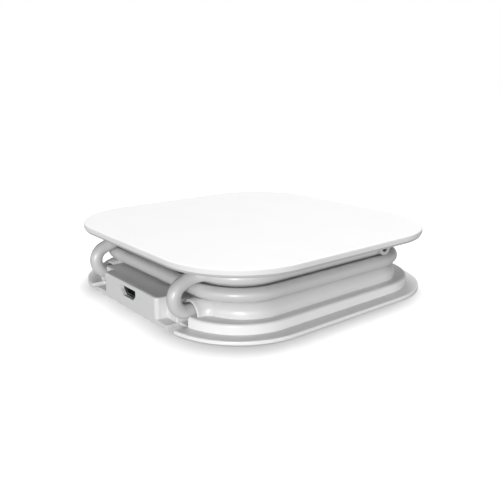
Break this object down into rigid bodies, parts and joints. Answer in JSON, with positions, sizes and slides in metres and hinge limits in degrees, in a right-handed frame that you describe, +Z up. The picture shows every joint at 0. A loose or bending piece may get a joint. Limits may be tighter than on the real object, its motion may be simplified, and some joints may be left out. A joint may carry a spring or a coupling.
{
  "type": "wireless charging pad",
  "caption": "White square wireless charging pad on a stepped base, its cord wound round the hub between the two, with a small input socket in a block at the front.",
  "frame": {"origin": "centre of the pad's footprint, on the surface its feet stand on", "axes": "+Z up, +X to the right when facing the socket, -Y the side that the socket and the cord's two bends are on"},
  "size_m": [0.09, 0.0902, 0.0197],
  "materials": {
    "cover_white": "satin",
    "tray_white": "satin",
    "base_white": "satin",
    "cord_white": "smooth, slightly glossy",
    "gland_rubber": "matt",
    "foot_rubber": "matt",
    "wire_insulation": "smooth",
    "socket_steel": "satin",
    "socket_black": "matt",
    "contact_gold": "bright",
    "board_green": "solder-mask",
    "chip_black": "matt",
    "ceramic_tan": "matt",
    "can_aluminium": "satin",
    "ferrite_grey": "matt",
    "copper_wire": "enamelled copper",
    "carrier_grey": "matt",
    "shield_aluminium": "satin",
    "screw_steel": "zinc-plated",
    "lens_dark": "glossy",
    "led_body": "matt",
    "flex_amber": "smooth"
  },
  "bodies": {
    "root": {"top_cover": "cover_white", "pad_tray": "tray_white", "base_housing": "base_white", "base_plate": "base_white", "rubber_feet": "foot_rubber", "cord": "cord_white", "cord_gland_right": "gland_rubber", "cord_gland_left": "gland_rubber", "cord_wires_right": "wire_insulation", "cord_wires_left": "wire_insulation", "connector_housing": "base_white", "connector_back_cover": "carrier_grey", "input_board": "board_green", "input_capacitors": "ceramic_tan", "usb_shell": "socket_steel", "usb_tongue": "socket_black", "usb_contacts": "contact_gold", "coil_carrier": "carrier_grey", "charging_coil": "copper_wire", "coil_leads": "copper_wire", "ferrite_sheet": "ferrite_grey", "shield_plate": "shield_aluminium", "thermistor": "chip_black", "main_board": "board_green", "controller_chip": "chip_black", "bridge_transistors": "chip_black", "resonant_capacitors": "ceramic_tan", "power_inductor": "ferrite_grey", "filter_capacitors": "can_aluminium", "status_bezel": "tray_white", "status_lens": "lens_dark", "status_led": "led_body", "led_flex": "flex_amber", "carrier_screws": "screw_steel", "board_screws": "screw_steel", "base_screws": "screw_steel", "hub_screws": "screw_steel"}
  },
  "joints": []
}
